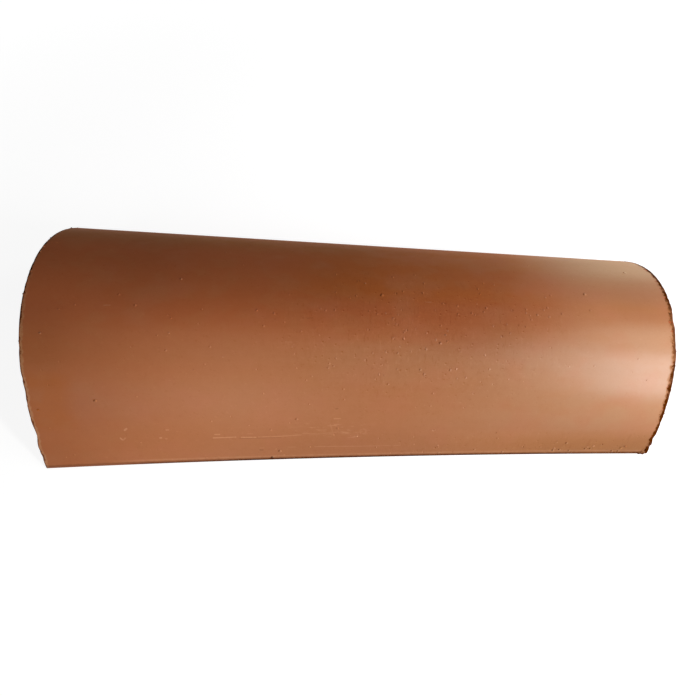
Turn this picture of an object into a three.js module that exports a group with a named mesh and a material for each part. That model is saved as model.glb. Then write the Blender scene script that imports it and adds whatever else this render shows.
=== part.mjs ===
// Tapered curved clay roof tile ("barrel" or cover-and-pan tile), one piece of fired clay.
// Millimetres, +Z up. It stands on its two eaves, hollow side down, with its length along X,
// the wide end at -X, the narrow end at +X, and the origin on the floor under its middle.
import * as THREE from "three";

// Driving dimensions; widths are taken across the eaves' outer corners before they are rounded
const length = 400;
const wideEndWidth = 190;
const wideEndHeight = 83;
const narrowEndWidth = 160;
const narrowEndHeight = 70;
const wall = 11;
const flankLean = 24; // degrees off the vertical, where a flank meets the floor
const crownFullness = 0.73; // 0 is a pointed crown, 1 carries it level out to the flanks' line
const flankFullness = 0.57; // 0 is a flank that curls in at once, 1 keeps it straight up to the crown's line
const eaveArris = 1.6; // how far the rounding reaches from each long edge
const endArris = 1.2; // rounding radius of the edges around both cut ends
const eaveBow = 2.4; // how far the -Y eave is drawn in at mid-length by drying
const clayColour = 0xac704e;

// Fineness of the curves
const crownSteps = 20; // from the crown to one eave
const arrisSteps = 3;
const lengthSteps = 14;

const lean = THREE.MathUtils.degToRad(flankLean);

// Half an arch: level at the crown, leaning in by flankLean at the foot.
function archHalf(halfWidth, height, foot) {
  const rise = height - foot;
  const crown = new THREE.Vector2(0, height);
  const toe = new THREE.Vector2(halfWidth, foot);
  const shoulder = new THREE.Vector2(halfWidth - rise * Math.tan(lean), height);
  return new THREE.CubicBezierCurve(
    crown,
    crown.clone().lerp(shoulder, crownFullness),
    toe.clone().lerp(shoulder, flankFullness),
    toe,
  );
}

// Rounds the corner between two straight runs that pass through before, corner and after.
function roundedCorner(before, corner, after) {
  const start = corner.clone().add(before.clone().sub(corner).setLength(eaveArris));
  const end = corner.clone().add(after.clone().sub(corner).setLength(eaveArris));
  return new THREE.QuadraticBezierCurve(start, corner, end).getPoints(arrisSteps);
}

// The points of a curve that lie more than the arris away from its foot.
function clearOfFoot(curve, foot) {
  return curve.getSpacedPoints(crownSteps).filter((point) => point.distanceTo(foot) > 2 * eaveArris);
}

// The +Y half of the section, from the outer crown down, round the eave and up to the inner crown.
// inset draws every face of it inwards, as the rounding of an end does.
function sectionHalf(width, height, inset) {
  const acrossWall = 1 / Math.cos(lean);
  const liftedFoot = inset * Math.tan(lean);
  const outerToe = width / 2 - inset * acrossWall - liftedFoot;
  const innerToe = width / 2 - (wall - inset) * acrossWall - liftedFoot;
  const outer = archHalf(outerToe, height - inset, inset);
  const inner = archHalf(innerToe, height - wall + inset, inset);
  const outerRun = clearOfFoot(outer, outer.v3);
  const innerRun = clearOfFoot(inner, inner.v3);
  const outerCorner = roundedCorner(outerRun.at(-1), outer.v3, inner.v3);
  const innerCorner = roundedCorner(outer.v3, inner.v3, innerRun.at(-1));
  return [...outerRun, ...outerCorner, ...innerCorner, ...innerRun.reverse()];
}

// The whole section as one closed ring: the +Y half, then its mirror image.
function sectionRing(width, height, inset) {
  const half = sectionHalf(width, height, inset);
  const mirrored = half.slice(1, -1).map((point) => new THREE.Vector2(-point.x, point.y));
  return [...half, ...mirrored.reverse()];
}

// Places along the tile: share runs from 0 at the wide end to 1 at the narrow end.
function stations() {
  const places = [];
  for (let step = 0; step <= arrisSteps; step++) {
    const turn = (Math.PI / 2) * (step / arrisSteps);
    places.push({ x: endArris * (1 - Math.cos(turn)), inset: endArris * (1 - Math.sin(turn)) });
  }
  const first = places.slice();
  for (let step = 1; step < lengthSteps; step++) {
    places.push({ x: (length * step) / lengthSteps, inset: 0 });
  }
  for (const place of first.reverse()) {
    places.push({ x: length - place.x, inset: place.inset });
  }
  return places;
}

// One ring of the tile's surface: the section at that place, with the -Y flank drawn in.
function ringAt({ x, inset }) {
  const share = x / length;
  const width = THREE.MathUtils.lerp(wideEndWidth, narrowEndWidth, share);
  const height = THREE.MathUtils.lerp(wideEndHeight, narrowEndHeight, share);
  const bow = eaveBow * 4 * share * (1 - share);
  return sectionRing(width, height, inset).map(({ x: across, y: up }) => {
    const drawnIn = across < 0 ? bow * (1 - up / height) : 0;
    return new THREE.Vector3(x - length / 2, across + drawnIn, up);
  });
}

// Skins the rings into one closed surface, with a flat cap on each end.
function loft(rings) {
  const count = rings[0].length;
  const indices = [];
  for (let ring = 0; ring + 1 < rings.length; ring++) {
    for (let point = 0; point < count; point++) {
      const next = (point + 1) % count;
      const a = ring * count + point;
      const b = ring * count + next;
      const c = (ring + 1) * count + next;
      const d = (ring + 1) * count + point;
      indices.push(a, c, b, a, d, c);
    }
  }
  const flat = rings[0].map((point) => new THREE.Vector2(point.y, point.z));
  const lastRing = (rings.length - 1) * count;
  for (const [a, b, c] of THREE.ShapeUtils.triangulateShape(flat, [])) {
    indices.push(a, c, b);
    indices.push(lastRing + a, lastRing + b, lastRing + c);
  }
  const geometry = new THREE.BufferGeometry().setFromPoints(rings.flat());
  geometry.setIndex(indices);
  geometry.computeVertexNormals();
  return geometry;
}

const firedClay = new THREE.MeshStandardMaterial({ color: clayColour, roughness: 0.85, metalness: 0 });

const tile = new THREE.Mesh(loft(stations().map(ringAt)), firedClay);
tile.name = "barrel_tile";

const part = new THREE.Group();
part.add(tile);

export default part;
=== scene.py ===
# Barrel roof tile of fired clay: its skin and finish, a floor, the light and the camera,
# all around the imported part. Metres, Z up, the tile's length along X.
import math

import bpy
from mathutils import Matrix, Vector


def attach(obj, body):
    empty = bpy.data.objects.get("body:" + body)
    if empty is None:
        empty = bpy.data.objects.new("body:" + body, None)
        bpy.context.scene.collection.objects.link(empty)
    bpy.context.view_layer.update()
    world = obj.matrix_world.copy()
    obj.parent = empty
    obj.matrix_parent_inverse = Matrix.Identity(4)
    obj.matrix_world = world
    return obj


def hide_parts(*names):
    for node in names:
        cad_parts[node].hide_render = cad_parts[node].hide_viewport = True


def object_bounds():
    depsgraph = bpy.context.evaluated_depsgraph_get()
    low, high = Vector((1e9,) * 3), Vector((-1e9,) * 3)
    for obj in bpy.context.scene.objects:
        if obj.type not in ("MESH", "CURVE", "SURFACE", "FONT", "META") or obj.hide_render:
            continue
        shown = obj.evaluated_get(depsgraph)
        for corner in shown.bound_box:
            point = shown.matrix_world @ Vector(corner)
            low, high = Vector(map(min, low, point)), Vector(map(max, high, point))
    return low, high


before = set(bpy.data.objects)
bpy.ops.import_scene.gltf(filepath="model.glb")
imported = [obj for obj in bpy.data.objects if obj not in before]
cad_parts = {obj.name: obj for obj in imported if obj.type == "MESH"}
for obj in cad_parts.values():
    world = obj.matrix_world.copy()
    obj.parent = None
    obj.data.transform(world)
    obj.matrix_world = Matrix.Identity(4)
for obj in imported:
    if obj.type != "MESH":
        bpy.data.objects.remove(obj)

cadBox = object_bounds()


class Wire:
    # one output socket of a tree; sums on it add Math nodes beside it
    def __init__(self, bench, socket):
        self.bench = bench
        self.socket = socket

    def out(self, name):
        return Wire(self.bench, pickSocket(self.socket.node.outputs, name))

    def maths(self, operation, *values):
        return self.bench.node("ShaderNodeMath", {"operation": operation}, dict(enumerate(values)))

    def __add__(self, other):
        return self.maths("ADD", self, other)

    def __radd__(self, other):
        return self.maths("ADD", other, self)

    def __sub__(self, other):
        return self.maths("SUBTRACT", self, other)

    def __rsub__(self, other):
        return self.maths("SUBTRACT", other, self)

    def __mul__(self, other):
        return self.maths("MULTIPLY", self, other)

    def __rmul__(self, other):
        return self.maths("MULTIPLY", other, self)

    def __truediv__(self, other):
        return self.maths("DIVIDE", self, other)

    def __abs__(self):
        return self.maths("ABSOLUTE", self)

    def __lt__(self, other):
        return self.maths("LESS_THAN", self, other)

    def __gt__(self, other):
        return self.maths("GREATER_THAN", self, other)

    def least(self, other):
        return self.maths("MINIMUM", self, other)

    def most(self, other):
        return self.maths("MAXIMUM", self, other)

    def only(self, operation):
        return self.maths(operation, self)


class Bench:
    # puts nodes in one tree, of shading or of geometry
    def __init__(self, tree):
        self.tree = tree

    def node(self, kind, settings=None, sockets=None, out=0):
        made = self.tree.nodes.new(kind)
        for name, value in (settings or {}).items():
            if name == "stops":
                setStops(made.color_ramp, value)
            else:
                setattr(made, name, value)
        for name, value in (sockets or {}).items():
            target = pickSocket(made.inputs, name)
            for each in value if isinstance(value, list) else [value]:
                if isinstance(each, Wire):
                    self.tree.links.new(each.socket, target)
                else:
                    target.default_value = each
        if made.outputs:
            return Wire(self, pickSocket(made.outputs, out))

    def vector(self, x, y, z):
        return self.node("ShaderNodeCombineXYZ", None, {"X": x, "Y": y, "Z": z})

    def apart(self, vector):
        split = self.node("ShaderNodeSeparateXYZ", None, {0: vector})
        return split, split.out("Y"), split.out("Z")

    def vectors(self, operation, *values, out=0):
        return self.node("ShaderNodeVectorMath", {"operation": operation}, dict(enumerate(values)), out)

    def scaled(self, vector, by):
        return self.node("ShaderNodeVectorMath", {"operation": "SCALE"}, {0: vector, "Scale": by})

    def blend(self, share, a, b):
        sockets = {"Factor_Float": share, "A_Color": a, "B_Color": b}
        return self.node("ShaderNodeMix", {"data_type": "RGBA"}, sockets, "Result_Color")

    def shaded(self, colour, by):  # the colour, lighter or darker by a vector of three factors
        sockets = {"Factor_Float": 1.0, "A_Color": colour, "B_Color": by}
        settings = {"data_type": "RGBA", "blend_type": "MULTIPLY"}
        return self.node("ShaderNodeMix", settings, sockets, "Result_Color")

    def noise(self, place, scale, detail=2.0, roughness=0.5):
        sockets = {"Vector": place, "Scale": scale, "Detail": detail, "Roughness": roughness}
        return self.node("ShaderNodeTexNoise", None, sockets)

    def between(self, low, high, value):  # 0 below low, 1 above high, smooth between
        sockets = {"Value": value, "From Min": low, "From Max": high}
        return self.node("ShaderNodeMapRange", {"interpolation_type": "SMOOTHSTEP"}, sockets)

    def span(self, value, starts, whole, wanes=None, gone=None):
        # 0 to 1 from where it starts to where it is whole, and back to 0 where it wanes
        rise = self.between(starts, whole, value)
        return rise if gone is None else rise * self.between(gone, wanes, value)


def pickSocket(sockets, name):
    if isinstance(name, int):
        return sockets[name]
    exact = [s for s in sockets if s.identifier == name and s.enabled]
    return (exact or [s for s in sockets if s.name == name and s.enabled])[0]


def setStops(ramp, stops):
    ramp.interpolation = "B_SPLINE"
    while len(ramp.elements) < len(stops):
        ramp.elements.new(0.5)
    for element, (place, colour) in zip(ramp.elements, stops):
        element.position = place
        element.color = colour


socketKinds = {
    float: "NodeSocketFloat",
    int: "NodeSocketInt",
    Vector: "NodeSocketVector",
    bpy.types.Material: "NodeSocketMaterial",
    bpy.types.Object: "NodeSocketObject",
}


def geometryTree(name, inputs, takesGeometry=False):
    # a new tree with a named input for each setting; returns its bench and a way to ask for an input
    tree = bpy.data.node_groups.new(name, "GeometryNodeTree")
    tree.interface.new_socket("Geometry", in_out="OUTPUT", socket_type="NodeSocketGeometry")
    if takesGeometry:
        tree.interface.new_socket("Geometry", in_out="INPUT", socket_type="NodeSocketGeometry")
    for label, value in inputs.items():
        tree.interface.new_socket(label, in_out="INPUT", socket_type=socketKinds[type(value)])
    bench = Bench(tree)
    given = bench.node("NodeGroupInput")
    return bench, given.out


def finishTree(bench, geometry, material):
    real = bench.node("GeometryNodeRealizeInstances", None, {"Geometry": geometry})
    painted = bench.node("GeometryNodeSetMaterial", None, {"Geometry": real, "Material": material})
    bench.node("NodeGroupOutput", None, {"Geometry": painted})
    return bench


def addTree(piece, bench, inputs):
    modifier = piece.modifiers.new(bench.tree.name, "NODES")
    modifier.node_group = bench.tree
    for item in bench.tree.interface.items_tree:
        if item.in_out == "INPUT" and item.name in inputs:
            modifier[item.identifier] = inputs[item.name]


def makePlain(piece, material):
    # the evaluated trees become the piece's own mesh, with its one material
    evaluated = piece.evaluated_get(bpy.context.evaluated_depsgraph_get())
    plain = bpy.data.meshes.new_from_object(evaluated)
    piece.modifiers.clear()
    piece.data = plain
    plain.name = piece.name
    plain.materials.clear()
    plain.materials.append(material)


def named(bench, name, kind="FLOAT"):
    return bench.node("GeometryNodeInputNamedAttribute", {"data_type": kind}, {"Name": name})


def stored(bench, geometry, name, value, kind="FLOAT", domain="POINT"):
    settings = {"data_type": kind, "domain": domain}
    sockets = {"Geometry": geometry, "Name": name, "Value": value}
    return bench.node("GeometryNodeStoreNamedAttribute", settings, sockets)


# The body: a gridded block of clay, its edges rounded, its ends cut by a wire, bent into the arch.
# Every point keeps its place in the unbent block, the "sheet": along, around and through the wall.
body = {
    "Length": 0.400,
    "Wide Width": 0.190,
    "Wide Height": 0.083,
    "Narrow Width": 0.160,
    "Narrow Height": 0.070,
    "Wall": 0.011,
    "Girth": 0.245,  # around the outside, from eave to eave
    "Flank Lean": math.radians(24),
    "Crown Fullness": 0.73,
    "Flank Fullness": 0.57,
    "Arris": 0.0010,  # radius of every long and short edge
    "Eave Bow": 0.0024,  # how far the near eave dried inwards at mid-length
    "Steps Along": 200,
    "Steps Around": 124,
    "Steps Through": 7,
    "Cut Wander": 0.0003,  # how far the wire strayed at both ends
    "Wander Waves": 55.0,  # to a metre
    "Wander Reach": 0.02,  # how far along the tile it is felt
    "Cut Tear": 0.0010,  # and the clay that it tore from their arrises
    "Tear Waves": 420.0,
    "Tear Reach": 0.004,
    "Ripple": 0.00018,  # hollows left by the die and by handling
    "Ripple Start": 0.006,  # from an end
}
arrisSteps = 2  # faces on each side of an arris
# nicks that the wire left in the ends: around, half width and depth in millimetres
wideNicks = [
    (-98.5, 9.0, 1.1), (-71.5, 9.0, 0.8), (-87.0, 24.0, 0.6), (-64.0, 4.0, 0.3), (-114.0, 4.0, 0.35),
]
narrowNicks = [(-17.0, 9.0, 1.0), (-32.0, 14.0, 0.6), (-109.0, 3.5, 0.9), (-116.0, 2.5, 0.7)]
girthHalf = body["Girth"] / 2


def spread(share, steps, size, arris):
    # places along one side of the block: even steps, and short ones beside both of its ends
    step = share * steps
    fine = arris * (1 / arrisSteps)
    coarse = (size - arris * 2) / (steps - 2 * arrisSteps)
    first = step.least(arrisSteps) * fine
    middle = (step - arrisSteps).most(0.0).least(steps - 2 * arrisSteps) * coarse
    last = (step - (steps - arrisSteps)).most(0.0) * fine
    return first + middle + last


def archPoint(halfWidth, height, turn, lean, crownFullness, flankFullness):
    # across and up on half an arch; turn is 0 at its level crown and 1 at its leaning foot.
    # It takes wires or numbers alike.
    shoulder = halfWidth - height * lean
    rest = 1 - turn
    nearCrown = 3 * rest * rest * turn
    nearFoot = 3 * rest * turn * turn
    flank = halfWidth + (shoulder - halfWidth) * flankFullness
    across = nearCrown * shoulder * crownFullness + nearFoot * flank + turn * turn * turn * halfWidth
    up = (rest * rest * rest + nearCrown + nearFoot * flankFullness) * height
    return across, up


def bodyTree(inputs):
    bench, given = geometryTree("tileBody", inputs)
    length, girth, wall, arris = (given(k) for k in ("Length", "Girth", "Wall", "Arris"))
    counts = {
        "Vertices X": given("Steps Along") + 1,
        "Vertices Y": given("Steps Around") + 1,
        "Vertices Z": given("Steps Through") + 1,
    }
    block = bench.node("GeometryNodeMeshCube", None, counts)
    x, y, z = bench.apart(bench.node("GeometryNodeInputPosition"))
    flat = bench.vector(
        spread(x + 0.5, given("Steps Along"), length, arris),
        spread(y + 0.5, given("Steps Around"), girth, arris),
        spread(z + 0.5, given("Steps Through"), wall, arris),
    )

    # round the block's edges
    margin = bench.vector(arris, arris, arris)
    farSide = bench.vectors("SUBTRACT", bench.vector(length, girth, wall), margin)
    core = bench.vectors("MAXIMUM", bench.vectors("MINIMUM", flat, farSide), margin)
    outward = bench.vectors("NORMALIZE", bench.vectors("SUBTRACT", flat, core))
    along, around, through = bench.apart(bench.vectors("ADD", core, bench.scaled(outward, arris)))

    # cut both ends with a wire that strays and tears, each end in its own way
    end = (along > length * 0.5) * 2 - 1
    fromEnd = length * 0.5 - abs(along - length * 0.5)
    fromCrown = around - girth * 0.5
    strayPlace = bench.vector(end * 3, around, through)
    stray = bench.noise(strayPlace, given("Wander Waves"), 2.0) * given("Cut Wander")
    for side, nicks in ((-1, wideNicks), (1, narrowNicks)):
        for place, halfWidth, depth in nicks:
            away = abs(fromCrown - place / 1000)
            nick = (1 - bench.between(0.0, halfWidth / 1000, away)) * (depth / 1000)
            stray = stray + nick * (end * side).most(0.0)
    tearPlace = bench.vector(end * 5, around, through * 2)
    tear = bench.noise(tearPlace, given("Tear Waves"), 3.0, 0.65)
    tear = bench.between(0.5, 0.72, tear) * given("Cut Tear")
    cut = stray * (1 - bench.between(0.0, given("Wander Reach"), fromEnd))
    cut = cut + tear * (1 - bench.between(0.0, given("Tear Reach"), fromEnd))
    sheet = bench.vector(along, fromCrown, through)
    along = along - end * cut

    # bend it
    share = along / length
    turn = around / girth * 2 - 1
    flankSide = turn.only("SIGN")
    turn = abs(turn)
    width = given("Wide Width") + (given("Narrow Width") - given("Wide Width")) * share
    height = given("Wide Height") + (given("Narrow Height") - given("Wide Height")) * share
    lean = given("Flank Lean")
    form = (turn, lean.only("TANGENT"), given("Crown Fullness"), given("Flank Fullness"))
    innerHalf = width * 0.5 - wall / lean.only("COSINE")
    outerAcross, outerUp = archPoint(width * 0.5, height, *form)
    innerAcross, innerUp = archPoint(innerHalf, height - wall, *form)
    depth = through / wall
    across = (innerAcross + (outerAcross - innerAcross) * depth) * flankSide
    up = innerUp + (outerUp - innerUp) * depth
    bow = given("Eave Bow") * 4 * share * (1 - share) * (1 - up / height) * (across < 0.0)
    bent = bench.vector(along - length * 0.5, across + bow, up)

    kept = stored(bench, block, "sheet", sheet, "FLOAT_VECTOR")
    shell = bench.node("GeometryNodeSetPosition", None, {"Geometry": kept, "Position": bent})

    # shallow hollows in the skin, long ones along the tile
    drag = bench.noise(bench.vector(along * 3, around * 60, depth), 1.0, 2.0)
    press = bench.noise(bench.vector(along * 14, around * 16, depth), 1.0, 2.0)
    sunk = (drag * 0.5 + press * 0.5) * given("Ripple")
    sunk = sunk * bench.between(0.0, given("Ripple Start"), fromEnd)
    inward = bench.scaled(bench.node("GeometryNodeInputNormal"), sunk * -1)
    rippled = bench.node("GeometryNodeSetPosition", None, {"Geometry": shell, "Offset": inward})
    smooth = bench.node("GeometryNodeSetShadeSmooth", None, {"Geometry": rippled})
    return finishTree(bench, smooth, given("Material"))


def onSkin(along, around):
    # the place on the outside of the arch for a place on the sheet
    share = along / body["Length"]
    halfWidth = (body["Wide Width"] + (body["Narrow Width"] - body["Wide Width"]) * share) / 2
    height = body["Wide Height"] + (body["Narrow Height"] - body["Wide Height"]) * share
    turn = abs(around) / girthHalf
    form = (turn, math.tan(body["Flank Lean"]), body["Crown Fullness"], body["Flank Fullness"])
    across, up = archPoint(halfWidth, height, *form)
    if around < 0:
        across = body["Eave Bow"] * 4 * share * (1 - share) * (1 - up / height) - across
    return Vector((along - body["Length"] / 2, across, up))


# Pinholes with a raised lip, and grains of grit that stand proud, some listed one by one and the rest
# scattered. Holes are cut into the skin, and lips and grains are joined to it.
specks = {
    "Spacing": 0.0026,
    "Density": 13500.0,  # for each square metre, where they lie closest
    "Quiet Share": 0.10,  # how many lie elsewhere, against there
    "Busy Along": 0.238,  # the middle of the busy area on the sheet
    "Busy Around": -0.033,
    "Busy Along Factor": 0.85,  # the larger, the narrower the area is that way
    "Busy Around Factor": 1.6,
    "Busy Reach": 0.100,
    "Calm From": 0.325,  # along, where fewer and fewer lie
    "Calm By": 0.350,
    "Calm Share": 0.20,  # how many are left there
    "Eave Share": 0.45,  # how closely they lie along the near eave of the narrow half
    "Bare Margin": 0.0025,  # none are scattered this close to an arris
    "Smallest": 0.00045,  # radius of a hole or a grain
    "Largest": 0.00084,
    "Lip Reach": 1.35,  # in radii of the hole
    "Lip Shift": 0.70,  # in radii of the lip, to one side of its hole
    "Lip Height": 0.40,
    "Hole Depth": 0.38,
    "Grain Height": 0.42,
    "Grain Share": 0.18,
    "Crumb Size": 0.00055,
    "Crumb Density": 41600.0,
    "Crumb Reach": 0.0015,  # from an end
    "Seed": 11,
}
speckMarks = {"Grain": 0.25, "Lip": 0.5, "Hole": 1.0}  # the face attribute "speck"
# millimetres along from the wide end, around from the crown line (minus is the near side), radius
bigHoles = [
    (40.0, -77.8, 0.85), (64.4, -19.8, 0.65), (182.4, -18.6, 0.55), (188.8, -70.9, 0.60),
    (211.2, -6.2, 0.85), (218.8, 9.3, 0.50), (233.2, 12.4, 0.50), (221.2, -46.6, 0.62),
    (238.0, -60.4, 0.65), (258.4, -18.4, 0.55), (267.2, -17.3, 0.60), (264.4, -62.8, 0.55),
    (278.8, -56.4, 0.55), (291.2, -31.0, 0.55), (166.0, -65.0, 0.55), (160.0, -91.3, 0.75),
    (148.8, -114.9, 0.85), (168.0, -81.0, 0.50), (244.0, -82.6, 0.50), (248.8, -100.5, 0.50),
    (253.2, -114.3, 0.50), (339.6, -112.0, 0.75), (354.0, -117.0, 0.70), (378.0, 30.0, 0.85),
    (374.4, -47.4, 0.50), (346.0, -53.2, 0.50), (182.4, -55.7, 0.50), (144.0, -119.6, 0.80),
    (332.0, -118.2, 0.70), (336.4, -117.8, 0.70), (343.2, -118.7, 0.70), (357.6, -116.9, 0.65),
    (373.2, -119.3, 0.75), (377.6, -119.4, 0.70), (322.8, -115.4, 0.50), (278.0, -116.9, 0.60),
    (342.4, 1.8, 0.80), (316.2, -11.0, 0.55), (305.0, -20.6, 0.50), (54.4, -13.1, 0.60),
    (140.0, -30.6, 0.60), (176.8, -18.9, 0.60), (108.8, -44.7, 0.60), (83.2, -47.2, 0.60),
]
bigGrains = [
    (12.4, -38.5, 0.8), (6.8, -83.2, 0.8), (89.4, -0.6, 0.8), (155.2, -8.3, 0.6), (168.0, -50.8, 0.6),
    (99.6, -59.2, 0.7), (116.8, -51.0, 0.6), (144.4, -98.9, 0.8), (168.8, -112.3, 0.8),
    (146.8, -113.3, 0.6), (344.4, -11.9, 0.8), (274.0, -2.1, 0.6), (397.2, -12.6, 0.9),
    (396.0, -120.8, 2.0), (397.8, -118.2, 1.4), (393.6, -121.4, 1.2), (398.6, -113.5, 1.3),
    (398.8, -88.0, 1.0), (398.9, -70.0, 0.9), (399.0, -52.0, 0.8), (222.0, -118.8, 0.6),
    (229.5, -119.2, 0.7), (237.0, -118.6, 0.6), (333.2, -111.3, 0.9), (333.0, -116.6, 0.9),
    (359.6, -114.9, 0.9), (379.2, -116.8, 1.2), (381.8, -115.2, 1.0), (355.6, -115.8, 0.8),
    (248.0, -100.9, 0.8), (236.0, -105.7, 0.7), (253.2, -113.0, 0.8), (290.8, -103.3, 0.8),
    (316.4, -2.7, 0.7), (309.6, -16.9, 0.8), (314.0, -13.0, 0.7), (317.2, -18.1, 0.8),
    (325.6, -15.4, 0.8), (302.4, -15.8, 0.6), (297.2, -25.4, 0.7), (301.6, -26.2, 0.8),
    (184.0, -103.4, 0.7), (186.4, -98.5, 0.8), (199.2, -104.6, 0.7), (86.0, -27.4, 0.7),
    (85.2, -36.8, 0.7), (136.0, -20.5, 0.8), (146.4, -22.4, 0.8),
]


def makeMarks():
    # a point for each mark that is listed one by one, with its radius, minus for a grain
    places = [(along, around, radius) for along, around, radius in bigHoles]
    places += [(along, around, -radius) for along, around, radius in bigGrains]
    mesh = bpy.data.meshes.new("marks")
    mesh.from_pydata([onSkin(along / 1000, around / 1000) for along, around, _ in places], [], [])
    sizes = mesh.attributes.new("reach", "FLOAT", "POINT")
    sizes.data.foreach_set("value", [radius / 1000 for _, _, radius in places])
    marks = bpy.data.objects.new("marks", mesh)
    bpy.context.scene.collection.objects.link(marks)
    return marks


def fromBusy(bench, along, around, setting):
    # how far a place is from the middle of the busy area
    along = (along - setting("Busy Along")) * setting("Busy Along Factor")
    around = (around - setting("Busy Around")) * setting("Busy Around Factor")
    return bench.vectors("LENGTH", bench.vector(along, around, 0.0), out="Value")


def speckTree(inputs):
    bench, given = geometryTree("specks", inputs, takesGeometry=True)
    skin = given("Geometry")
    sheet = named(bench, "sheet", "FLOAT_VECTOR")
    along, around, through = bench.apart(sheet)
    fromEnd = body["Length"] / 2 - abs(along - body["Length"] / 2)
    outside = (through > body["Wall"] * 0.98) * (abs(around) < girthHalf - given("Bare Margin"))
    quiet = bench.between(0.0, given("Busy Reach"), fromBusy(bench, along, around, given))
    crowding = 1 - quiet * (1 - given("Quiet Share"))
    calm = bench.between(given("Calm From"), given("Calm By"), along)
    crowding = crowding * (1 - calm * (1 - given("Calm Share")))
    alongEave = bench.between(-0.104, -0.110, around) * bench.between(0.19, 0.23, along)
    crowding = crowding.most(alongEave * given("Eave Share"))

    def chance(salt):  # a number from 0 to 1 for each point
        seed = {"Seed": given("Seed") + salt}
        return bench.node("FunctionNodeRandomValue", {"data_type": "FLOAT"}, seed, "Value_001")

    def scatteredOn(area, density, share, seed):
        sockets = {
            "Mesh": skin,
            "Selection": area,
            "Distance Min": given("Spacing"),
            "Density Max": density,
            "Density Factor": share,
            "Seed": seed,
        }
        even = {"distribute_method": "POISSON"}
        return bench.node("GeometryNodeDistributePointsOnFaces", even, sockets)

    area = outside * (fromEnd > given("Bare Margin"))
    scatter = scatteredOn(area, given("Density"), crowding, given("Seed"))
    luck = chance(1)
    radius = given("Smallest") + (given("Largest") - given("Smallest")) * luck * crowding
    grainSign = 1 - (chance(2) < given("Grain Share")) * 2
    scattered = stored(bench, scatter, "reach", radius * grainSign)
    byHand = bench.node("GeometryNodeObjectInfo", None, {"Object": given("Marks")}, "Geometry")
    byHand = bench.node("GeometryNodeMeshToPoints", None, {"Mesh": byHand})
    here = bench.node("GeometryNodeInputPosition")

    def fromSkin(value):
        sockets = {"Mesh": skin, "Value": value, "Sample Position": here}
        return bench.node("GeometryNodeSampleNearestSurface", {"data_type": "FLOAT_VECTOR"}, sockets)

    onIt = {"Geometry": byHand, "Position": fromSkin(here)}
    byHand = bench.node("GeometryNodeSetPosition", None, onIt)
    points = bench.node("GeometryNodeJoinGeometry", None, {0: [byHand, scattered]})
    facing = fromSkin(bench.node("GeometryNodeInputNormal"))
    upright = bench.node("FunctionNodeAlignRotationToVector", {"axis": "Z"}, {"Vector": facing})
    ball = bench.node("GeometryNodeMeshIcoSphere", None, {"Radius": 1.0, "Subdivisions": 1})

    def onEach(points, wanted, kind, scale, shift=0.0):
        sockets = {
            "Points": points,
            "Selection": wanted,
            "Instance": stored(bench, ball, "speck", speckMarks[kind], domain="FACE"),
            "Rotation": upright,
            "Scale": scale,
        }
        placed = bench.node("GeometryNodeInstanceOnPoints", None, sockets)
        side = (chance(3) > 0.5) * 2 - 1
        sideways = bench.vector(side * shift, (chance(7) - 0.5) * shift, 0.0)
        moved = {"Instances": placed, "Translation": sideways, "Local Space": True}
        placed = bench.node("GeometryNodeTranslateInstances", None, moved)
        return bench.node("GeometryNodeRealizeInstances", None, {"Geometry": placed})

    reach = named(bench, "reach")
    isHole = reach > 0.0
    size = abs(reach)
    lipReach = size * given("Lip Reach")
    lipScale = bench.vector(lipReach, lipReach, size * given("Lip Height"))
    lips = onEach(points, isHole, "Lip", lipScale, given("Lip Shift"))
    breadth = size * (0.7 + chance(8) * 0.8)
    grainScale = bench.vector(size, breadth, size * given("Grain Height"))
    grains = onEach(points, 1 - isHole, "Grain", grainScale)
    holes = onEach(points, isHole, "Hole", bench.vector(size, breadth, size * given("Hole Depth")))

    # crumbs that the wire left on the arrises of both ends
    onArris = (through > body["Wall"] * 0.9) * (fromEnd < given("Crumb Reach"))
    crumbPoints = scatteredOn(onArris, given("Crumb Density"), 1.0, given("Seed") + 5)
    crumbSize = given("Crumb Size") * (0.5 + chance(6))
    crumbScale = bench.vector(crumbSize, crumbSize * 0.8, crumbSize * 0.6)
    crumbs = onEach(crumbPoints, True, "Grain", crumbScale)

    union = {"operation": "UNION", "solver": "MANIFOLD"}
    difference = {"operation": "DIFFERENCE", "solver": "MANIFOLD"}
    raised = bench.node("GeometryNodeMeshBoolean", union, {"Mesh 2": [skin, lips, grains, crumbs]})
    pitted = bench.node("GeometryNodeMeshBoolean", difference, {"Mesh 1": raised, "Mesh 2": holes})

    # nothing stands past the solid's box
    low = bench.vectors("MAXIMUM", here, given("Lowest"))
    inBox = bench.vectors("MINIMUM", low, given("Highest"))
    trimmed = bench.node("GeometryNodeSetPosition", None, {"Geometry": pitted, "Position": inBox})

    # new points take their place on the sheet from the skin; the specks' edges stay crisp
    kept = stored(bench, trimmed, "sheet", fromSkin(sheet), "FLOAT_VECTOR")
    steep = bench.node("GeometryNodeInputMeshEdgeAngle") > math.radians(28)
    border = (named(bench, "speck") * 4).only("FRACT") > 0.1  # every mark is so many quarters
    sharp = {"Geometry": kept, "Selection": steep.most(border), "Shade Smooth": False}
    crisp = bench.node("GeometryNodeSetShadeSmooth", {"domain": "EDGE"}, sharp)
    return finishTree(bench, crisp, given("Material"))


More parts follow.
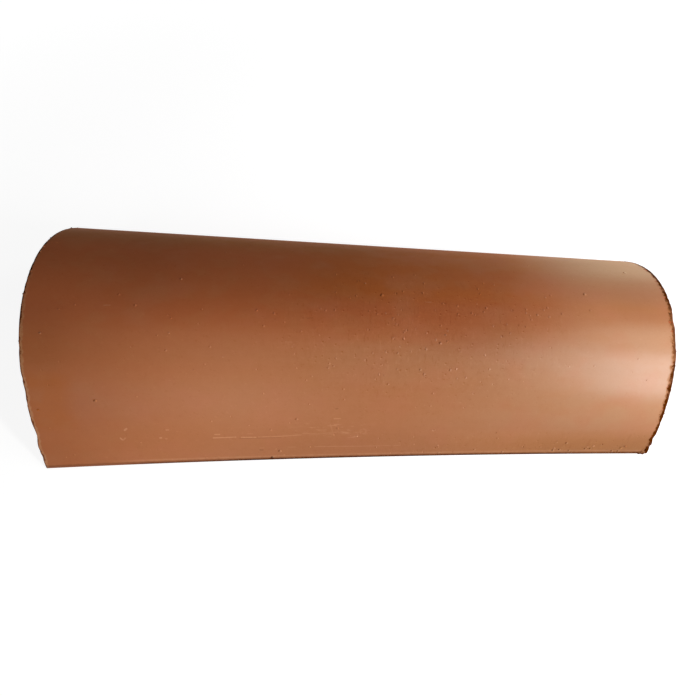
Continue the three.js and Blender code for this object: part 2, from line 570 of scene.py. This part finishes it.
# The finish. Everything on it is placed by the sheet, so it follows the clay round the arch.
finish = {
    "Fired": (0.400, 0.152, 0.062, 1),
    "Deep": (0.400, 0.120, 0.036, 1),  # towards the wide end
    "Bloom": (0.400, 0.195, 0.097, 1),  # paler towards the narrow end, partly a painted sheen
    "Ruddy": (0.400, 0.107, 0.033, 1),  # over the crown and the far flank, partly painted shade
    "Umber": (0.290, 0.086, 0.011, 1),  # painted shade on the far shoulder
    "Russet": (0.400, 0.097, 0.003, 1),  # along the crown
    "Mustard": (0.400, 0.130, 0.005, 1),  # past the crown, in the narrow half
    "Ochre": (0.400, 0.152, 0.028, 1),  # at the foot of the narrow end
    "Tan": (0.545, 0.318, 0.156, 1),  # a painted sheen over the far side of the narrow end
    "Rosy": (0.410, 0.142, 0.066, 1),  # in clouds, and on the near shoulder
    "Olive": (0.390, 0.150, 0.054, 1),  # in other clouds
    "Scuffed": (0.560, 0.260, 0.130, 1),
    "Grit": (0.520, 0.235, 0.120, 1),
    # painted shade in the pinholes, and dark grit
    "Pit": (0.350, 0.105, 0.032, 1),
    # soot, and painted shade at the ends' arrises, under the eave and in pinholes along the foot
    "Soot And Shade": (0.066, 0.013, 0.000, 1),
    # dark brown of the scorch inside the narrow end's arris, partly painted shade, and of its near
    # corner
    "Dark Brown": (0.280, 0.095, 0.022, 1),
    "Arris Highlight": (0.530, 0.250, 0.110, 1),  # a painted highlight inside the arris of the wide end
    "Ember": (0.360, 0.075, 0.018, 1),  # over-fired specks at the narrow end
    "Bare": (0.380, 0.152, 0.070, 1),  # the hollow's sanded clay, and the cut ends
    "Tone Spread": (0.8, 1.3, 2.0),  # how far a change of tone moves red, green and blue
    "Specular": 0.15,
    "Satin": 0.29,  # roughness of the skin that the die slicked
    "Weathered": 0.75,  # and of the far flank
    "Dull": 0.85,
    "Bump": 0.65,
}
# A patch is given by its places around, in millimetres from the crown line (minus is the near side),
# and along, as a share of the length: where it starts and where it is whole, and if it ends, where
# it wanes and where it is gone. A last number is how much of it is missing low on the far flank.
stainsAndShadeUnder = [  # colour, strength and patch of each stain under the paler tone towards the narrow end; the last is painted shade
    ("Russet", 0.45, (-16, -2), (0.34, 0.50, 0.74, 0.90), 1.0),
    ("Russet", 0.60, (-100, -90, -68, -58), (0.085, 0.045)),
    ("Umber", 1.00, (20, 50), (0.80, 0.40), 0.9),
]
stainsAndSheenOver = [  # and over it; the first is partly a painted sheen
    ("Bloom", 0.20, (-72, -62, -44, -36), (0.40, 0.50, 0.58, 0.66)),
    ("Fired", 0.28, (-88, -100), (0.04, 0.10, 0.16, 0.26)),
    ("Deep", 0.20, (-88, -118), (0.25, 0.40)),
    ("Ochre", 0.50, (-98, -114), (0.50, 0.96)),
]
kilnAndShadingPatches = [  # how much lighter a patch is, minus for darker: kiln flashing and partly painted light and shade
    (-0.09, (-88, -118), (0.10, 0.40)),  # the low flank
    (-0.22, (-55, -112), (0.62, 1.00)),  # painted shade on the near flank of the narrow end
    (-0.12, (-100, -120), (0.55, 1.00)),  # its foot
    (-0.07, (-102, -110), (0.90, 0.98)),  # the tip of its foot
    (0.05, (-96, -106), (0.60, 0.70, 0.76, 0.86)),  # and the foot before it
    (-0.24, (-46, 2), (0.02, 0.20, 0.43, 0.69), 0.6),  # painted shade on the crown, in the wide half
    (0.08, (-78, -105), (0.30, 0.10)),  # the foot of the wide end
    (0.035, (-46, -62), (0.44, 0.26)),  # its near flank
    (-0.12, (22, 45), (0.42, 0.05), 1.0),  # painted shade on its far shoulder
    (-0.06, (-64, -52, -26, -14), (0.10, 0.03)),  # and its near one
    (0.09, (-48, -30, -14, 2), (0.78, 0.90)),  # a painted glow of light on the near shoulder
    (-0.09, (-62, -36), (0.54, 0.65, 0.71, 0.80)),  # the dip before the glow
    (-0.05, (-86, -70, -58, -46), (0.82, 0.90)),  # and the clay below it
]
# and how light it is along the length, half being plain: kiln banding and partly painted light and
# shade
kilnAndShadingBands = [
    (0.00, 0.420), (0.10, 0.475), (0.20, 0.555), (0.29, 0.575), (0.40, 0.530),
    (0.50, 0.485), (0.66, 0.430), (0.80, 0.440), (0.92, 0.470), (1.00, 0.480),
]
# millimetres on the sheet: from and to, half width, strength
paleScratches = [
    ((108.0, -103.8), (122.0, -103.6), 0.42, 0.70), ((125.5, -103.8), (134.5, -104.1), 0.42, 0.75),
    ((136.4, -103.9), (151.6, -103.6), 0.42, 0.48), ((151.6, -103.6), (163.2, -102.9), 0.45, 0.48),
    ((109.2, -101.4), (112.0, -101.4), 0.45, 0.50), ((129.6, -101.4), (132.8, -101.4), 0.40, 0.25),
    ((164.4, -101.8), (174.0, -102.5), 0.45, 0.30), ((172.8, -102.5), (190.0, -100.8), 0.45, 0.25),
    ((174.0, -99.8), (179.2, -99.5), 0.45, 0.28), ((181.6, -95.4), (183.6, -101.8), 0.45, 0.26),
    ((154.8, -112.1), (159.4, -112.1), 0.40, 0.30), ((136.8, -112.2), (139.2, -112.2), 0.45, 0.25),
    ((172.0, -112.1), (200.8, -112.6), 0.40, 0.38), ((200.8, -112.6), (228.0, -112.5), 0.40, 0.28),
    ((184.0, -91.4), (187.8, -91.3), 0.45, 0.50), ((153.8, -40.8), (157.4, -40.8), 0.40, 0.30),
    ((47.0, -20.6), (50.6, -20.4), 0.45, 0.35), ((238.6, -10.2), (242.2, -10.2), 0.40, 0.35),
    ((54.7, -97.1), (56.0, -96.1), 0.60, 0.70), ((51.2, -102.4), (52.0, -103.4), 0.55, 0.70),
    ((52.8, -103.6), (54.0, -102.4), 0.50, 0.55), ((79.8, -97.5), (81.0, -97.5), 0.55, 0.55),
    ((75.2, -102.9), (76.0, -102.9), 0.60, 0.60), ((78.4, -103.6), (79.2, -103.6), 0.55, 0.50),
]
darkScratches = [
    ((214.6, -20.2), (217.4, -20.0), 0.45, 0.22), ((166.4, -24.8), (169.6, -24.4), 0.45, 0.16),
    ((124.0, -104.7), (150.4, -104.7), 0.36, 0.14), ((143.6, -120.6), (144.6, -120.2), 0.80, 0.95),
    ((136.8, -113.7), (138.4, -113.8), 0.50, 0.30), ((398.6, 5.6), (399.6, 5.8), 0.80, 0.70),
    ((398.6, -7.0), (399.6, -7.2), 0.80, 0.70), ((185.0, -84.4), (186.0, -84.2), 0.50, 0.25),
]
scuffed = {  # an area of short scuffs with a ring beside it, in metres on the sheet
    "Along": (0.148, 0.170, 0.200, 0.212),
    "Around": (-0.1075, -0.1040, -0.0965, -0.0925),
    "Ring Middle": (0.2028, -0.1010, 0.0),
    "Ring Radius": 0.0018,
}


class TilePlace:
    # wires that tell where a point lies on the unbent tile, and the marks that are placed by them
    def __init__(self, bench):
        self.bench = bench
        self.sheet = bench.node("ShaderNodeAttribute", {"attribute_name": "sheet"}, None, "Vector")
        self.speck = bench.node("ShaderNodeAttribute", {"attribute_name": "speck"}, None, "Fac")
        self.along, self.around, through = bench.apart(self.sheet)
        self.flat = bench.vector(self.along, self.around, 0.0)
        self.share = self.along * (1 / body["Length"])
        self.depth = through * (1 / body["Wall"])
        self.fromEnd = body["Length"] / 2 - abs(self.along - body["Length"] / 2)
        self.fromEave = girthHalf - abs(self.around)
        self.skin = bench.between(0.80, 0.93, self.depth)  # the outside, not the cut faces
        self.hollow = 1 - bench.between(0.05, 0.15, self.depth)
        endFace = 1 - bench.between(0.00005, 0.0006, self.fromEnd)
        self.cutFace = endFace * (1 - self.skin) * (1 - self.hollow)
        self.narrow = bench.between(0.4, 0.6, self.share)  # 1 in the narrow half
        self.farSide = bench.between(-0.053, -0.019, self.around)
        self.lowFar = bench.between(0.050, 0.090, self.around)  # low on the far flank
        self.crownEnd = self.patch((-30, -14, 14, 32), (0.78, 0.92))
        # the crown at the very end, darkened as painted shade
        self.endCrownShade = self.crownEnd * bench.between(0.86, 0.96, self.share)
        # where specks and scuffs crowd
        away = fromBusy(bench, self.along, self.around, specks.get)
        foot = bench.between(-0.098, -0.110, self.around) * bench.between(0.18, 0.24, self.along)
        self.busy = (1 - bench.between(0.02, 0.11, away)).most(foot * 0.6)
        # noise for broad colour, for worn strokes and for torn edges
        self.cloud = self.stretched(38.0, 46.0, 20.0)
        self.broken = bench.between(0.30, 0.62, self.stretched(260.0, 40.0, 20.0, 3.0, 0.7))
        self.ragged = self.stretched(420.0, 300.0, 120.0, 3.0, 0.7)

    def stretched(self, alongBy, aroundBy, throughBy, detail=2.0, roughness=0.5):
        # noise drawn out along the sheet; the numbers are waves to a metre
        place = self.bench.vectors("MULTIPLY", self.sheet, (alongBy, aroundBy, throughBy))
        return self.bench.noise(place, 1.0, detail, roughness)

    def patch(self, around, along, missing=0.0):
        # 1 on a patch, 0 away from it
        whole = self.bench.span(self.around, *(place / 1000 for place in around))
        whole = whole * self.bench.span(self.share, *along)
        return whole * (1 - self.lowFar * missing) if missing else whole

    def stainedAndShaded(self, colour, stains):
        for stain, strength, *patch in stains:
            colour = self.bench.blend(self.patch(*patch) * strength, colour, finish[stain])
        return colour

    def stroke(self, start, end, halfWidth):
        # 1 on the line between two places, fading out across its half width
        first = Vector((*start, 0.0)) / 1000
        run = Vector((*end, 0.0)) / 1000 - first
        fromFirst = self.bench.vectors("SUBTRACT", self.flat, first)
        part = self.bench.vectors("DOT_PRODUCT", fromFirst, run / run.length_squared, out="Value")
        nearest = self.bench.scaled(run, part.most(0.0).least(1.0))
        away = self.bench.vectors("DISTANCE", fromFirst, nearest, out="Value")
        return 1 - self.bench.between(halfWidth / 3000, halfWidth / 700, away)

    def strokes(self, wanted):
        total = None
        for start, end, halfWidth, strength in wanted:
            one = self.stroke(start, end, halfWidth) * strength
            total = one if total is None else total.most(one)
        return total * self.skin


def kilnColourAndPaintedLight(bench, on):
    # broad changes of colour, in the order in which they are laid on: from the firing, with painted
    # shade on the far flank and shoulder and a painted sheen towards the narrow end
    colour = bench.blend(bench.between(0.04, 0.34, on.share), finish["Deep"], finish["Fired"])
    plainer = on.patch((-44, -30, -18, -6), (0.62, 0.72, 0.82, 0.90)) * 0.3
    # ruddier over the crown and far flank: partly painted shade
    ruddy = on.farSide * (1 - bench.between(0.70, 0.98, on.share) * 0.75) * (1 - on.lowFar * 0.6)
    colour = bench.blend(ruddy - plainer, colour, finish["Ruddy"])
    colour = on.stainedAndShaded(colour, stainsAndShadeUnder)

    # the paler tone towards the narrow end, partly a painted sheen, starts later on the far side, and
    # is weak at the foot and on the crown's end
    late = on.farSide * (1 - bench.between(0.70, 1.00, on.share) * 0.75) * 0.23
    bloomAndSheen = bench.between(0.50, 0.92, on.share - late)
    bloomAndSheen = bloomAndSheen * (1 - on.patch((-88, -118), (0.55, 0.80)) * 0.75)
    bloomAndSheen = bloomAndSheen * (1 - on.crownEnd * 0.42 - on.endCrownShade * 0.22)
    colour = bench.blend(bloomAndSheen, colour, finish["Bloom"])
    mustard = on.patch((14, 30), (0.56, 0.70, 0.78, 0.90), 1.0) * 0.30
    mustard = mustard.most(on.crownEnd * bench.between(-0.016, -0.008, on.around) * 0.20)
    colour = bench.blend(mustard, colour, finish["Mustard"])
    colour = on.stainedAndShaded(colour, stainsAndSheenOver)

    # clouds
    rosy = bench.between(0.46, 0.66, on.cloud) * bench.between(0.06, 0.16, on.share) * 0.25
    blush = on.patch((-68, -58, -40, -28), (0.02, 0.10, 0.30, 0.46)) * 0.22
    colour = bench.blend(rosy.most(blush), colour, finish["Rosy"])
    olive = bench.between(0.46, 0.66, on.stretched(-61.0, 92.0, 20.0))
    colour = bench.blend(olive * 0.18, colour, finish["Olive"])
    # a painted sheen, tan, over the far side of the narrow end
    drift = on.share + (on.cloud - 0.5) * 0.3 * on.lowFar
    tanSheen = bench.between(0.002, 0.036, on.around) * bench.between(0.715, 0.945, drift)
    return bench.blend(tanSheen * (1 - on.lowFar * 0.85) * 0.75, colour, finish["Tan"])


def kilnAndShadingTone(bench, on):
    # how light each place is, 1 being plain: kiln banding, partly painted light and shade, and painted
    # shade on the crown at the very end
    ramp = {"stops": [(place, (tone, tone, tone, 1)) for place, tone in kilnAndShadingBands]}
    tone = bench.node("ShaderNodeValToRGB", ramp, {"Fac": on.share}) * 2
    for lighter, *patch in kilnAndShadingPatches:
        tone = tone * (1 + on.patch(*patch) * lighter)
    return tone * (1 - on.endCrownShade * 0.09) * (1 + (on.cloud - 0.5) * 0.05)


def poresAt(bench, place):
    # faint dots of painted shade, in one of three of the cells that they stand in
    cells = {"feature": "F1", "distance": "EUCLIDEAN", "voronoi_dimensions": "2D"}
    cell = bench.node("ShaderNodeTexVoronoi", cells, {"Vector": place, "Scale": 250.0}, "Distance")
    luck = bench.apart(cell.out("Color"))[0]
    return (1 - bench.between(0.06, 0.19, cell)) * bench.between(0.72, 0.98, luck)


def clayGrain(bench, on):
    # what the die and the grit left: streaks along the tile and across it, fine grain, flecks and
    # pores, in painted shade with a painted highlight beside each; gives its tone, its height in
    # millimetres and its dark flecks
    streaks = on.stretched(11.0, 420.0, 60.0, 3.0, 0.6)
    crossed = on.stretched(560.0, 130.0, 60.0, 2.0, 0.6)
    grain = bench.noise(on.sheet, 1500.0, 3.0, 0.6)
    fleck = bench.noise(on.sheet, 480.0, 2.0, 0.5)
    mottle = bench.noise(on.sheet, 170.0, 2.0, 0.6)
    darkFleck = bench.between(0.62, 0.76, fleck)
    paleFleck = bench.between(0.38, 0.24, fleck)
    crossings = bench.between(0.60, 0.72, crossed) * 0.7 - bench.between(0.40, 0.28, crossed)
    crossings = crossings * (0.01 + on.busy * 0.10)
    pores = poresAt(bench, on.sheet)
    poreLitSides = poresAt(bench, bench.vectors("ADD", on.sheet, (0.0004, 0.0008, 0.0)))
    calm = 0.62 + on.busy * 0.63 - on.patch((-20, -45), (0.78, 0.92)) * 0.22
    tone = (streaks - 0.5) * 0.07 + (grain - 0.5) * 0.12 + (mottle - 0.5) * 0.10
    tone = tone - darkFleck * 0.09 + paleFleck * 0.09
    tone = tone + (poreLitSides * 0.16 - pores * 0.22) * (0.3 + on.busy * 0.9)
    height = (grain - 0.5) * 0.05 + (streaks - 0.5) * 0.012 + crossings * 0.2 + (mottle - 0.5) * 0.05
    height = height - darkFleck * 0.03 + paleFleck * 0.02 - pores * 0.06
    return 1 + tone * calm + crossings, height * calm, darkFleck


def dragMarks(bench, on):
    # the hollow was sanded in the mould, and the cut faces are open clay
    drag = on.stretched(14.0, 240.0, 60.0, 4.0, 0.7)
    wireDrag = on.stretched(60.0, 900.0, 120.0, 3.0, 0.7)
    return (drag - 0.5) * on.hollow * 0.5 + (wireDrag - 0.5) * on.cutFace * 0.5


def scuffMarks(bench, on):
    # pale scratches, short scuffs and a ring
    pale = on.strokes(paleScratches) * (0.45 + on.broken * 0.55)
    area = bench.span(on.along, *scuffed["Along"]) * bench.span(on.around, *scuffed["Around"])
    shorts = bench.between(0.56, 0.70, on.stretched(170.0, 950.0, 60.0, 2.0, 0.6)) * area * on.skin
    ring = bench.vectors("DISTANCE", on.flat, scuffed["Ring Middle"], out="Value")
    ring = 1 - bench.between(0.0002, 0.0008, abs(ring - scuffed["Ring Radius"]))
    return pale.most(shorts * 0.40).most(ring * on.skin * on.broken * 0.30)


def paintSpecks(bench, on, colour):
    # pinholes with a lip, and grit, bolder along the foot: the holes darkened as painted shade, the
    # lips lightened as a painted highlight; gives how much lighter they are, too
    bold = bench.between(-0.097, -0.102, on.around)
    pit = bench.between(0.75, 0.95, on.speck)
    lip = bench.between(0.40, 0.48, on.speck) * (1 - pit)
    grit = bench.between(0.10, 0.20, on.speck) * (1 - bench.between(0.30, 0.40, on.speck))
    gritTone = bench.noise(on.sheet, 90.0, 0.0)
    colour = bench.blend(pit * (0.55 + bold * 0.25), colour, finish["Pit"])
    colour = bench.blend(pit * bold * 0.25, colour, finish["Soot And Shade"])
    colour = bench.blend(grit * bench.between(0.45, 0.60, gritTone) * 0.4, colour, finish["Grit"])
    colour = bench.blend(grit * bench.between(0.40, 0.30, gritTone) * 0.6, colour, finish["Pit"])
    return colour, 1 + lip * 0.26 + grit * (0.04 + bold * 0.22), pit, grit


def paintEnds(bench, on, colour):
    # charred right at the arris and scorched inside it at the narrow end, both partly painted shade;
    # pale at the wide end, a painted highlight
    patches = on.stretched(60.0, 120.0, 60.0, 3.0, 0.6)
    upper = bench.between(0.66, 0.86, on.depth + (on.ragged - 0.5) * 0.2)
    fromEdge = on.fromEnd + (on.ragged - 0.5) * (0.0040 + on.narrow * 0.0018)
    charAndShade = (1 - bench.between(0.0007, 0.0014, fromEdge - on.narrow * 0.0014)) * upper
    wideCharAndShade = bench.between(-0.055, 0.010, on.around) * 0.50 + 0.40
    narrowCharAndShade = 0.98 - bench.span(on.around, -0.056, -0.046, -0.010, 0.002) * 0.45
    charAndShade = charAndShade * (wideCharAndShade + on.narrow * (narrowCharAndShade - wideCharAndShade))
    charAndShade = charAndShade * (bench.between(0.34, 0.46, patches) * 0.60 + 0.40)
    scorchAndShade = (1 - bench.between(0.0024, 0.0042, fromEdge)) * on.narrow * upper * 0.75
    ember = (1 - bench.between(0.0032, 0.0042, fromEdge)) * on.narrow * upper
    ember = ember * bench.between(0.58, 0.63, on.stretched(60.0, 190.0, 60.0, 2.0, 0.6))
    # darker at the near corner of the narrow end
    fromCorner = bench.vectors("LENGTH", bench.vector(on.fromEnd, on.fromEave, 0.0), out="Value")
    cornerDark = 1 - bench.between(0.003, 0.008, fromCorner + (on.ragged - 0.5) * 0.004)
    cornerDark = cornerDark * on.narrow * (on.around < 0.0) * upper
    # a painted highlight inside the arris of the wide end
    inside = bench.span(fromEdge, 0.0007, 0.0012, 0.0018, 0.0029) * (1 - on.narrow) * on.skin
    inside = inside * (bench.between(0.01, -0.05, on.around) * 0.75 + 0.25)
    colour = bench.blend(scorchAndShade.most(cornerDark * 0.8), colour, finish["Dark Brown"])
    colour = bench.blend(ember * 0.80, colour, finish["Ember"])
    colour = bench.blend(charAndShade.most(cornerDark * 0.2), colour, finish["Soot And Shade"])
    return bench.blend(inside * 0.62, colour, finish["Arris Highlight"]), charAndShade, scorchAndShade


def paintEaves(bench, on, colour):
    # painted contact shadow, and darker clay, under the arris; a pale line above it
    eaveEdge = on.fromEave + (on.ragged - 0.5) * 0.0010
    eaveSootAndShade = 0.20 + 0.35 * bench.between(0.11, 0.17, on.share)
    eaveSootAndShade = eaveSootAndShade + 0.30 * bench.between(0.24, 0.34, on.share)
    eaveShadeAndDirt = (1 - bench.between(0.0014, 0.0022, eaveEdge)) * eaveSootAndShade
    shadowed = (1 - bench.between(0.0022, 0.0032, eaveEdge)) * 0.22
    eaveShadeAndDirt = eaveShadeAndDirt.most(shadowed) * (1 - on.hollow)
    paleAboveEave = bench.span(on.fromEave, 0.0025, 0.0031, 0.0036, 0.0047) * on.skin
    paleAboveEave = paleAboveEave * bench.between(0.03, 0.07, on.along) * (0.4 + on.broken * 0.6)
    colour = bench.blend(paleAboveEave * 0.36, colour, finish["Scuffed"])
    return bench.blend(eaveShadeAndDirt, colour, finish["Soot And Shade"]), eaveShadeAndDirt


def firedClay():
    material = bpy.data.materials.new("firedClay")
    material.use_nodes = True
    links = material.node_tree.links
    shader = material.node_tree.nodes["Principled BSDF"]
    bench = Bench(material.node_tree)
    on = TilePlace(bench)
    tone, height, darkFleck = clayGrain(bench, on)
    rough = dragMarks(bench, on)
    scuff = scuffMarks(bench, on)
    colour = bench.blend(on.hollow.most(on.cutFace), kilnColourAndPaintedLight(bench, on), finish["Bare"])
    colour = bench.blend(scuff, colour, finish["Scuffed"])
    colour = bench.blend(on.strokes(darkScratches), colour, finish["Soot And Shade"])
    colour, lighter, pit, grit = paintSpecks(bench, on, colour)
    colour, charAndShade, scorchAndShade = paintEnds(bench, on, colour)
    colour, eaveShadeAndDirt = paintEaves(bench, on, colour)

    # pale clay has less colour than dark, so green and blue change more than red
    change = tone * (1 + rough) * lighter - 1
    fine = bench.vector(*(1 + change * spread for spread in finish["Tone Spread"]))
    bands = kilnAndShadingTone(bench, on)
    colour = bench.shaded(bench.shaded(colour, fine), bench.vector(bands, bands, bands))
    links.new(colour.socket, shader.inputs["Base Color"])
    satin = bench.between(-0.030, 0.020, on.around) * (finish["Weathered"] - finish["Satin"])
    satin = finish["Satin"] + satin + (on.cloud - 0.5) * 0.06 + darkFleck * 0.08
    dull = on.hollow.most(on.cutFace).most(pit).most(charAndShade).most(scorchAndShade)
    dull = dull.most(grit * 0.8).most(scuff * 0.5)
    roughness = satin * (1 - dull) + dull * finish["Dull"]
    links.new(roughness.socket, shader.inputs["Roughness"])
    shader.inputs["Specular IOR Level"].default_value = finish["Specular"]
    height = height + rough * 0.35 + charAndShade.most(scorchAndShade) * (on.ragged - 0.5) * 0.8
    bumped = {"Height": height, "Strength": finish["Bump"], "Distance": 0.001}
    links.new(bench.node("ShaderNodeBump", None, bumped).socket, shader.inputs["Normal"])

    # soot and painted shade have no gloss at all
    matt = {"Base Color": finish["Soot And Shade"], "Roughness": 1.0, "Specular IOR Level": 0.0}
    matt = bench.node("ShaderNodeBsdfPrincipled", None, matt)
    glossless = charAndShade.most(eaveShadeAndDirt * on.skin)
    mixed = {"Fac": glossless, "Shader": Wire(bench, shader.outputs["BSDF"]), "Shader_001": matt}
    surface = material.node_tree.nodes["Material Output"].inputs["Surface"]
    links.new(bench.node("ShaderNodeMixShader", None, mixed).socket, surface)
    print("clay: finish with", len(material.node_tree.nodes), "nodes")
    return material


clay = firedClay()


def makeTile():
    piece = bpy.data.objects.new("clay_tile", bpy.data.meshes.new("clay_tile"))
    bpy.context.scene.collection.objects.link(piece)
    marks = makeMarks()
    bodyInputs = dict(body, Material=clay)
    speckInputs = dict(specks, Marks=marks, Lowest=cadBox[0], Highest=cadBox[1], Material=clay)
    addTree(piece, bodyTree(bodyInputs), bodyInputs)
    addTree(piece, speckTree(speckInputs), speckInputs)
    makePlain(piece, clay)
    bpy.data.objects.remove(marks)
    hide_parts("barrel_tile")
    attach(piece, "root")
    print("tile:", len(piece.data.vertices), "points,", len(piece.data.polygons), "faces")


makeTile()

backdrop = {
    "Reach": 2.0,
    "Pale": 0.80,  # what the floor gives back to the tile
    "Seen Pale": 0.32,  # what the camera and reflections see of its light, with the shadow in it
    "Seen Glow": 0.885,
    "White From": 0.30,  # and from how far out to how far out it turns white
    "White By": 0.80,
    "Sky": 0.05,
}


def seenDirectly(bench):
    # 1 for what the camera, a reflection or a clear thing shows, 0 for light on the tile
    rays = bench.node("ShaderNodeLightPath")
    return rays.most(rays.out("Is Glossy Ray")).most(rays.out("Is Transmission Ray"))


def makeFloor():
    reach = backdrop["Reach"]
    mesh = bpy.data.meshes.new("floor")
    corners = [(-reach, -reach, 0), (reach, -reach, 0), (reach, reach, 0), (-reach, reach, 0)]
    mesh.from_pydata(corners, [], [(0, 1, 2, 3)])
    floor = bpy.data.objects.new("floor", mesh)
    bpy.context.scene.collection.objects.link(floor)
    material = bpy.data.materials.new("paleFloor")
    material.use_nodes = True
    bench = Bench(material.node_tree)
    seen = seenDirectly(bench)
    shader = material.node_tree.nodes["Principled BSDF"]
    pale = backdrop["Pale"] + seen * (backdrop["Seen Pale"] - backdrop["Pale"])
    links = material.node_tree.links
    links.new(bench.vector(pale, pale, pale).socket, shader.inputs["Base Color"])
    place = bench.node("ShaderNodeTexCoord", None, None, "Object")
    away = bench.vectors("LENGTH", place, out="Value")
    white = bench.between(backdrop["White From"], backdrop["White By"], away)
    glow = seen * (backdrop["Seen Glow"] + white * (1 - backdrop["Seen Glow"]))
    links.new(bench.vector(glow, glow, glow).socket, shader.inputs["Emission Color"])
    shader.inputs["Emission Strength"].default_value = 1.0
    shader.inputs["Roughness"].default_value = 1.0
    shader.inputs["Specular IOR Level"].default_value = 0.0
    mesh.materials.append(material)
    print("floor: pale, white to the camera")


def makeSky():
    world = bpy.data.worlds.new("studio")
    bpy.context.scene.world = world
    world.use_nodes = True
    bench = Bench(world.node_tree)
    background = world.node_tree.nodes["Background"]
    background.inputs["Color"].default_value = (1, 1, 1, 1)
    strength = backdrop["Sky"] + seenDirectly(bench) * (1 - backdrop["Sky"])
    world.node_tree.links.new(strength.socket, background.inputs["Strength"])
    print("sky: dim on the tile, white to the camera")


makeFloor()
makeSky()

cameraView = {
    "Lens": 27.65,
    "Place": Vector((-0.02242, -0.19773, 0.34525)),
    "Yaw": math.radians(4.868),
    "Pitch": math.radians(60.205),  # down
    "Roll": math.radians(5.402),
}


def makeCamera():
    data = bpy.data.cameras.new("camera")
    data.lens = cameraView["Lens"]
    data.clip_start = 0.01
    camera = bpy.data.objects.new("camera", data)
    bpy.context.scene.collection.objects.link(camera)
    yaw, pitch, roll = (cameraView[k] for k in ("Yaw", "Pitch", "Roll"))
    ahead = Vector((math.sin(yaw) * math.cos(pitch), math.cos(yaw) * math.cos(pitch), -math.sin(pitch)))
    level = Vector((math.cos(yaw), -math.sin(yaw), 0))
    upward = level.cross(ahead)
    right = math.cos(roll) * level + math.sin(roll) * upward
    up = math.cos(roll) * upward - math.sin(roll) * level
    turned = Matrix((right, up, -ahead)).transposed().to_4x4()
    camera.matrix_world = Matrix.Translation(cameraView["Place"]) @ turned
    bpy.context.scene.camera = camera
    print("camera:", round(data.lens, 1), "mm lens")


makeCamera()

lamps = {  # where it stands, how wide and tall it is, which way its height runs, watts
    "key": {"Place": (0.69, -0.61, 0.43), "Size": (0.1, 0.5), "Upright": (0, 0.58, 0.81), "Watts": 6.2},
    "rim": {"Place": (0.55, 0.36, 0.10), "Size": (0.35, 0.35), "Upright": (0, 0, 1), "Watts": 4.2},
    "fill": {"Place": (-0.43, -0.90, 0.19), "Size": (1.00, 0.50), "Upright": (0, 0, 1), "Watts": 2.9},
    "near": {"Place": (0.30, -0.15, 0.20), "Size": (0.25, 0.25), "Upright": (0, 0, 1), "Watts": 0.65},
}
lampsFace = Vector((0, 0, 0.04))


def makeLamp(name, lamp):
    data = bpy.data.lights.new(name, "AREA")
    data.shape = "RECTANGLE"
    data.size, data.size_y = lamp["Size"]
    data.energy = lamp["Watts"]
    light = bpy.data.objects.new(name, data)
    light.visible_camera = False
    bpy.context.scene.collection.objects.link(light)
    place = Vector(lamp["Place"])
    back = (place - lampsFace).normalized()
    side = Vector(lamp["Upright"]).cross(back).normalized()
    turned = Matrix((side, back.cross(side), back)).transposed().to_4x4()
    light.matrix_world = Matrix.Translation(place) @ turned


for name, lamp in lamps.items():
    makeLamp(name, lamp)
print("lamps:", ", ".join(lamps))

bpy.context.scene.view_settings.view_transform = "Standard"
